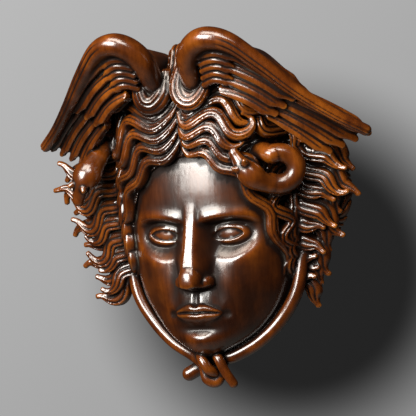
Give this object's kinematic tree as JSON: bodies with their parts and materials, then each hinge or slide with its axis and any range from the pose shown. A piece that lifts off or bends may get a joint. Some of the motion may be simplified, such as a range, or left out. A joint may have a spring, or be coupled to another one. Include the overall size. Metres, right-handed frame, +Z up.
{
  "type": "gorgon mask",
  "caption": "Carved wooden gorgon mask for a wall: a calm face in wavy hair with wings over the brow, snakes at the temples and a knot of tails under the chin",
  "frame": {"origin": "the middle of the flat back, level with the brow, where the mask meets the wall", "axes": "+X to the viewer's right, +Y into the wall, +Z up; the face looks along -Y"},
  "size_m": [0.3245, 0.1012, 0.3251],
  "materials": {
    "walnut": "waxed and polished walnut, reddish brown, near black in the recesses, golden on worn ridges, grey-green dust in the deepest grooves"
  },
  "bodies": {
    "root": {"gorgon_mask": "walnut"}
  },
  "joints": []
}
